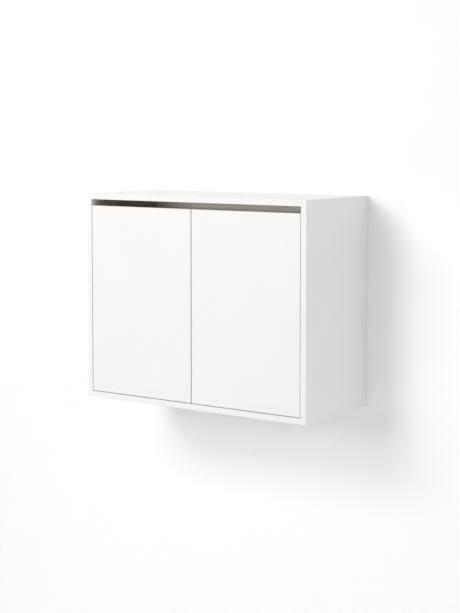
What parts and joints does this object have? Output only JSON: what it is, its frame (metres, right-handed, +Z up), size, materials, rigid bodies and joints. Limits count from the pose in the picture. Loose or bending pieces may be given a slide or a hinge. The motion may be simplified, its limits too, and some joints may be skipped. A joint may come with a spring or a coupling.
{
  "type": "hanging wall cabinet",
  "caption": "Shallow wall-hung cabinet with two flush inset doors, a full-width finger gap above them, an adjustable shelf and concealed hinges.",
  "frame": {"origin": "on the wall plane, in the middle of the wall rail's row of screw holes, 60 mm below the cabinet's top", "axes": "+X to the right for a viewer who faces the doors, +Y into the wall, +Z up"},
  "size_m": [0.8, 0.36, 0.64],
  "materials": {
    "white_board": "satin white faced particle board",
    "white_door": "satin white lacquered board",
    "hardboard": "white faced fibreboard",
    "beech": "turned beech",
    "steel": "zinc plated",
    "nickel": "nickel plated",
    "zinc": "die-cast zinc",
    "white_plastic": "matt white",
    "clear_rubber": "soft translucent",
    "dark_screw": "bright zinc"
  },
  "bodies": {
    "cabinet": {"left_side_panel": "white_board", "right_side_panel": "white_board", "top_panel": "white_board", "bottom_panel": "white_board", "back_panel": "hardboard", "shelf": "white_board", "shelf_pins": "dark_screw", "dowels": "beech", "cam_bolts": "dark_screw", "cam_locks": "zinc", "cam_covers": "white_plastic", "hinge_plates_left": "zinc", "hinge_plate_screws_left": "dark_screw", "hinge_arms_left": "nickel", "hinge_arm_screws_left": "dark_screw", "hinge_arm_pins_left": "dark_screw", "hinge_plates_right": "zinc", "hinge_plate_screws_right": "dark_screw", "hinge_arms_right": "nickel", "hinge_arm_screws_right": "dark_screw", "hinge_arm_pins_right": "dark_screw", "door_stops": "white_plastic", "door_stop_pads": "clear_rubber", "door_stop_screws": "dark_screw", "wall_rail": "steel", "hanger_housing_left": "steel", "hanger_hook_left": "steel", "hanger_housing_right": "steel", "hanger_hook_right": "steel", "hanger_adjusting_screws": "dark_screw", "hanger_dowels": "white_plastic", "hanger_covers": "white_plastic"},
    "left_door": {"left_door": "white_door", "hinge_cups_left": "nickel", "hinge_cup_pins_left": "dark_screw", "hinge_cup_screws_left": "dark_screw"},
    "right_door": {"right_door": "white_door", "hinge_cups_right": "nickel", "hinge_cup_pins_right": "dark_screw", "hinge_cup_screws_right": "dark_screw"},
    "left_outer_links": {"hinge_outer_links_left": "nickel"},
    "left_inner_links": {"hinge_inner_links_left": "nickel"},
    "right_outer_links": {"hinge_outer_links_right": "nickel"},
    "right_inner_links": {"hinge_inner_links_right": "nickel"}
  },
  "joints": [
    {"name": "left_door_swing", "type": "hinge", "parent": "cabinet", "child": "left_door", "pos_m": [-0.36551, -0.35396, -0.269], "axis": [0, 0, -1], "range_deg": [0, 110]},
    {"name": "left_outer_link_turn", "type": "hinge", "parent": "left_door", "child": "left_outer_links", "pos_m": [-0.36611, -0.34553, -0.269], "axis": [0, 0, 1], "range_deg": [0, 138]},
    {"name": "left_inner_link_turn", "type": "hinge", "parent": "left_door", "child": "left_inner_links", "pos_m": [-0.36552, -0.35072, -0.269], "axis": [0, 0, 1], "range_deg": [0, 122.7]},
    {"name": "right_door_swing", "type": "hinge", "parent": "cabinet", "child": "right_door", "pos_m": [0.36551, -0.35396, -0.269], "axis": [0, 0, 1], "range_deg": [0, 110]},
    {"name": "right_outer_link_turn", "type": "hinge", "parent": "right_door", "child": "right_outer_links", "pos_m": [0.36611, -0.34553, -0.269], "axis": [0, 0, -1], "range_deg": [0, 138]},
    {"name": "right_inner_link_turn", "type": "hinge", "parent": "right_door", "child": "right_inner_links", "pos_m": [0.36552, -0.35072, -0.269], "axis": [0, 0, -1], "range_deg": [0, 122.7]}
  ],
  "couplings": [
    {"joint": "left_outer_link_turn", "follows": "left_door_swing", "ratio": 1.2545},
    {"joint": "left_inner_link_turn", "follows": "left_door_swing", "ratio": 1.1147},
    {"joint": "right_outer_link_turn", "follows": "right_door_swing", "ratio": 1.2545},
    {"joint": "right_inner_link_turn", "follows": "right_door_swing", "ratio": 1.1147}
  ]
}
